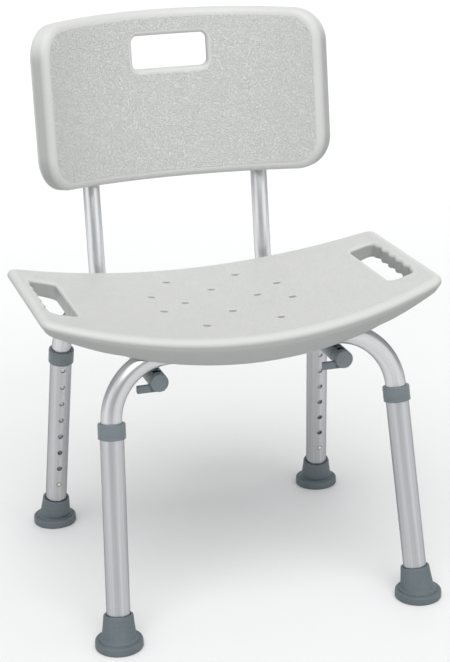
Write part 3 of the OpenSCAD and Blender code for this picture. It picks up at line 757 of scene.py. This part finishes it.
# profiles of (radius, height): the foot starts with its grooved underside, and each button
# runs out from near its tube's axis
FOOT_PROFILE = [
    (0, 0.05), (8.6, 0.05), (9, 0.4), (9, 2.5), (11, 2.5), (11, 0.4), (11.4, 0.05),
    (14.6, 0.05), (15, 0.4), (15, 2.5), (17, 2.5), (17, 0.4), (17.4, 0.05), (20.6, 0.05),
    (21, 0.4), (21, 2.5), (23, 2.5), (23, 0.4), (23.4, 0.05), (27.2, 0.05), (28.3, 0.4),
    (28.9, 1.3), (29, 2.4), (29, 7.6), (28.9, 8.6), (28.5, 9.5), (27.8, 10.1), (26.9, 10.3),
    (26.1, 10.1), (25.6, 9.7), (25.0, 9.6), (24.4, 9.8), (24.1, 10.4), (24.0, 11.9),
    (23.8, 12.6), (23.3, 13.0), (22.6, 13.1), (21.4, 13.2), (20.9, 13.5), (20.7, 14.2),
    (20.3, 18), (19.6, 24), (18.9, 30), (18.3, 36), (18.1, 38.2), (17.7, 39.3), (17.0, 39.9),
    (16.2, 40.0), (15.4, 39.8), (14.9, 39.2), (14.6, 38), (14.4, 34), (14.4, 30)]
COLLAR_PROFILE = [
    (14.34, 6), (14.34, 0.5), (14.6, 0.1), (15.2, 0), (16.0, 0.1), (16.5, 0.5), (16.65, 1.1),
    (16.65, 2.6), (16.45, 2.9), (16.45, 3.2), (16.65, 3.5), (16.65, 17.3), (16.5, 18.2),
    (16.1, 18.75), (15.4, 19), (13.6, 19), (13.1, 18.85), (12.8, 18.4), (12.76, 17.6),
    (12.76, 15)]
BUTTON_PROFILE = [
    (0, 6.65), (3.3, 6.65), (3.4, 6.8), (3.4, 13.9), (3.3, 14.4), (3.0, 14.8), (2.5, 15.05),
    (2.2, 15.1), (2.1, 15.0), (2.0, 15.0), (1.9, 15.12), (0.9, 15.28), (0, 15.3)]
for name, sx, sy in CORNERS:
    leg = leg_matrix(sx, sy)
    level = Matrix.Translation((sx * FOOT_X, sy * FOOT_Y + SHIFT, 0))

    def tilt(h, leg=leg, level=level):
        """Level rings in the flange that turn square to the leg in the neck."""
        k = min(1.0, max(0.0, (h - 10.5) / 7.0))
        k = k * k * (3 - 2 * k)
        return Matrix([[a + (b - a) * k for a, b in zip(r1, r2)] for r1, r2 in zip(level, leg)])

    rubber = Shape()
    rubber.lathe(None, FOOT_PROFILE, 96, tilt)
    obj = rubber.build("rubber_foot_" + name, M_RUBBER)
    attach(obj, "leg_" + name)
    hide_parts("foot_tip_" + name)

    ring = Shape()
    ring.lathe(leg @ Matrix.Translation((0, 0, COLLAR_H)), COLLAR_PROFILE, 80)
    obj = ring.build("leg_ring_" + name, M_GREY)
    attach(obj, "leg_" + name)
    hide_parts("leg_collar_" + name)

    facing = (leg @ Matrix.Translation((0, 0, FIRST_HOLE))
              @ Matrix.Rotation(0 if sy > 0 else math.pi, 4, "Z")
              @ Matrix.Rotation(math.pi / 2, 4, "X"))
    button = Shape()
    button.lathe(facing, BUTTON_PROFILE, 40)
    obj = button.build("button_" + name, M_BRASS)
    obj.data.materials.append(M_CENTRE)
    to_button = facing.inverted()
    for face in obj.data.polygons:
        p = to_button @ (face.center / MM)
        if p.z > CENTRE_H and math.hypot(p.x, p.y) < CENTRE_R:
            face.material_index = 1
    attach(obj, "button_" + name)
    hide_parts("snap_button_" + name)

# ---- backrest locks under the seat: a fixed barrel and a thumb lever that turns on its hub ----
BARREL_R, HUB_R, SPIGOT_R = 11.2, 8.0, 9.8
SLOT_TURN = math.radians(25)               # half the angle that a slot takes
# the fixed barrel and the lever's ring: how far each end ring is drawn in, the slot's two
# heights and the radius of its bottom
BODY = ({70.0: 0.8, 70.25: 0.25, 70.8: 0.0, 113.6: 0.15, 114.0: 0.6}, (107.0, 110.6), 6.0)
LEVER = ({114.05: 0.6, 114.2: 0.2, 114.6: 0.0, 127.4: 0.0, 127.8: 0.2, 127.95: 0.6},
         (115.4, 121.4), 8.1)


def slotted_barrel(shape, matrix, part, caps):
    """A round body with softened ends and a slot cut into its top."""
    ends, (low, high), deep = part

    def radius(angle, h):
        if h in ends:
            return BARREL_R - ends[h]
        return deep if low < h < high and abs(angle - math.pi / 2) < SLOT_TURN else BARREL_R

    lines = [low - 0.4, low, low + 0.06, low + 0.5, high - 0.5, high - 0.06, high, high + 0.4]
    near = [math.pi / 2 + s * (SLOT_TURN + d) for s in (-1, 1)
            for d in (-0.04, -0.004, 0.002, 0.04)]
    angles = [a for a in np.linspace(0, 2 * math.pi, 64, endpoint=False)
              if all(abs(a - b) > 0.06 for b in near)]
    shape.barrel(matrix, sorted(list(ends) + lines), sorted(angles + near), radius, caps)


def darken_slot(obj, matrix):
    """Gives the bottom and the walls of a slot, and what faces them inside, a nearly black
    material: painted shade in the recess.
    """
    obj.data.materials.append(M_SLOT_SHADE)
    to_axis = matrix.inverted()
    for face in obj.data.polygons:
        p = to_axis @ (face.center / MM)
        turn = abs(math.atan2(p.y, p.x) - math.pi / 2)
        if math.hypot(p.x, p.y) > BARREL_R - 0.3 or turn > SLOT_TURN + 0.01:
            continue
        if any(low - 0.1 < p.z < high + 0.1 for _, (low, high), _ in (BODY, LEVER)):
            face.material_index = 1


for name, s in SIDES:
    axis = Matrix.Translation((s * BACK_X, SHIFT, LEVEL_Z)) @ Matrix.Rotation(math.pi / 2, 4, "X")
    centre = Matrix.Translation((s * BACK_X, SHIFT, LEVEL_Z))
    body = Shape()
    slotted_barrel(body, axis, BODY, True)
    body.lathe(axis, [(0, 38), (SPIGOT_R - 1, 38), (SPIGOT_R, 39), (SPIGOT_R, 71), (0, 71)])
    body.lathe(axis, [(0, 113), (HUB_R, 113), (HUB_R, 128.5), (0, 128.5)])
    body.lathe(axis, [(0, 128.0), (10.9, 128.0), (11.2, 128.3), (11.2, 129.7), (11.05, 130.3),
                      (10.7, 130.7), (10.2, 130.95), (9.4, 131.0), (9.0, 130.9), (8.8, 130.7),
                      (8.4, 130.62), (0, 130.6)])
    top = PAD_Z - LEVEL_Z
    body.block(centre, (-8, -92, 2), (8, -70, top - 2), 1.2)
    body.block(centre, (-27.3, -93, top - 5), (27.3, -67, top), 1.2)
    for e in (-1, 1):
        body.block(centre, (e * 12 - 1.5, -91, top - 11), (e * 12 + 1.5, -71, top - 4), 0.7)
    obj = body.build("lock_body_" + name, M_GREY)
    darken_slot(obj, axis)
    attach(obj, "frame")
    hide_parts("lock_housing_" + name)

    lever = Shape()
    slotted_barrel(lever, axis, LEVER, False)
    lever.lathe(axis, [(10.6, 127.95), (8.05, 127.95), (8.05, 114.05), (10.6, 114.05)])
    lever.block(centre, (-27, -127.9, -11.6), (-8.6, -122, -2.2), 1.3)
    lever.block(centre, (-11, -127.9, -11.6), (7, -122, -8.7), 0.9)
    lever.block(centre, (-11, -127.9, -11.6), (-8.5, -114.1, -2.2), 0.9)
    for k in range(3):
        lever.block(centre, (-25.4 + 3.2 * k, -128.2, -10.6), (-24.2 + 3.2 * k, -121.7, -3.2), 0.4)
    obj = lever.build("thumb_lever_" + name, M_GREY)
    darken_slot(obj, axis)
    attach(obj, "lever_" + name)
    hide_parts("lock_lever_" + name)

# ---- clips under the leg frames' cross runs ----
for name, sx, sy in CORNERS:
    centre = (Matrix.Translation((sx * CLIP_X, SHIFT, 0))
              @ Matrix.Rotation(0 if sy < 0 else math.pi, 4, "Z"))
    clip = Shape()
    clip.block(centre, (-15, -133, 323.6), (15, -115, RUN_Z - FRAME_R - 0.05), 1.3)
    clip.block(centre, (-15, -118, 323.6), (15, -90, 328), 1.3)
    for e in (-1, 1):
        clip.block(centre, (e * 10 - 1.2, -131, 322.9), (e * 10 + 1.2, -92, 325), 0.6)
    obj = clip.build("run_clip_" + name, M_GREY)
    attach(obj, "frame")
    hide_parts("leg_clip_" + name)

# ---- materials on the CAD's own pieces ----
LOOKS = [("leg_tube_" + corner, M_LEGS[corner]) for corner, _, _ in CORNERS]
LOOKS += [("back_tube_cap", M_GREY), ("back_guide", M_GREY), ("foot_washer", M_STEEL),
          ("button_spring", M_SPRING), ("clip_screws", M_STEEL), ("housing_screws", M_STEEL),
          ("guide_screws", M_STEEL), ("panel_screws", M_STEEL)]
for node_name, obj in frame["nodes"].items():
    for start, material in LOOKS:
        if node_name.startswith(start):
            obj.data.materials.clear()
            obj.data.materials.append(material)
            break

# ---- floor, light and camera ----
FLOOR_HALF = 60.0
floor_mat = Nodes("pale_floor")
tone = floor_mat.ramp(floor_mat.noise(1.5, 2.0), 0.3, 0.7)
# painted light: the floor is made lighter farther from the middle, where the chair stands, from 0.5
# m to 3 m out
away = floor_mat.new("ShaderNodeVectorMath", {0: floor_mat.coord.outputs["Object"]},
                     operation="LENGTH")
near = floor_mat.mix(tone, (0.83, 0.83, 0.83), (0.85, 0.85, 0.85))
pale = floor_mat.mix(floor_mat.ramp(away.outputs["Value"], 0.5, 3.0), near, (0.94, 0.94, 0.94))
floor_mat.finish(pale, 0.75, Specular_IOR_Level=0.1)
mesh = bpy.data.meshes.new("floor")
mesh.from_pydata([(x * FLOOR_HALF, y * FLOOR_HALF, 0)
                  for x, y in ((-1, -1), (1, -1), (1, 1), (-1, 1))], [], [(0, 1, 2, 3)])
mesh.materials.append(floor_mat.mat)
floor = bpy.data.objects.new("floor", mesh)
bpy.context.scene.collection.objects.link(floor)

SOFTBOXES = (-77, 43, 163)                 # azimuths of three large lights near the horizon,
                                           # set around the photo's view
SKY_LEVEL, SOFTBOX_LEVEL = 0.40, 1.10
world = bpy.data.worlds.new("studio")
bpy.context.scene.world = world
world.use_nodes = True
tree = world.node_tree
direction = tree.nodes.new("ShaderNodeTexCoord").outputs["Generated"]
sky = None
for degrees in SOFTBOXES:
    turn = math.radians(degrees)
    dot = tree.nodes.new("ShaderNodeVectorMath")
    dot.operation = "DOT_PRODUCT"
    dot.inputs[1].default_value = (math.sin(turn) * 0.985, -math.cos(turn) * 0.985, 0.17)
    tree.links.new(direction, dot.inputs[0])
    glow = tree.nodes.new("ShaderNodeMapRange")
    glow.interpolation_type = "SMOOTHSTEP"
    for key, value in (("From Min", 0.84), ("From Max", 0.95), ("To Min", 0.0), ("To Max", 1.0)):
        glow.inputs[key].default_value = value
    tree.links.new(dot.outputs["Value"], glow.inputs["Value"])
    if sky:
        both = tree.nodes.new("ShaderNodeMath")
        both.operation = "MAXIMUM"
        tree.links.new(sky, both.inputs[0])
        tree.links.new(glow.outputs[0], both.inputs[1])
        sky = both.outputs[0]
    else:
        sky = glow.outputs[0]
level = tree.nodes.new("ShaderNodeMapRange")
level.inputs["To Min"].default_value = SKY_LEVEL
level.inputs["To Max"].default_value = SOFTBOX_LEVEL
tree.links.new(sky, level.inputs["Value"])
tree.links.new(level.outputs[0], tree.nodes["Background"].inputs["Strength"])
tree.nodes["Background"].inputs["Color"].default_value = (0.98, 0.99, 1.0, 1)


def sun(name, toward, strength, spread):
    """A distant light from a direction, as wide as its spread in degrees."""
    light = bpy.data.lights.new(name, "SUN")
    light.energy, light.angle = strength, math.radians(spread)
    obj = bpy.data.objects.new(name, light)
    obj.rotation_euler = (-Vector(toward)).to_track_quat("-Z", "Y").to_euler()
    bpy.context.scene.collection.objects.link(obj)


sun("key", (-0.15, -0.55, 1.0), 1.85, 50)
sun("top", (0.15, 0.3, 1.0), 0.5, 90)

# the camera that was fitted to the photo
SENSOR, FOCAL_PX, PHOTO_HEIGHT = 36.0, 1731.4, 662
CAMERA_AT = (-0.5907, -1.9927 + SHIFT * MM, 1.0200)
azimuth, elevation, roll = map(math.radians, (-16.63, 18.74, -1.40))
backward = Vector((math.sin(azimuth) * math.cos(elevation),
                   -math.cos(azimuth) * math.cos(elevation), math.sin(elevation)))
right = (-backward).cross(Vector((0, 0, 1))).normalized()
up = right.cross(-backward)
axes = (right * math.cos(roll) + up * math.sin(roll),
        up * math.cos(roll) - right * math.sin(roll), backward)
camera = bpy.data.objects.new("camera", bpy.data.cameras.new("camera"))
camera.data.sensor_width = SENSOR
camera.data.lens = FOCAL_PX * SENSOR / PHOTO_HEIGHT
camera.data.clip_start, camera.data.clip_end = 0.05, 200.0
camera.matrix_world = Matrix.Translation(CAMERA_AT) @ Matrix(axes).transposed().to_4x4()
bpy.context.scene.collection.objects.link(camera)
bpy.context.scene.camera = camera
bpy.context.scene.view_settings.view_transform = "Standard"

bpy.context.view_layer.update()
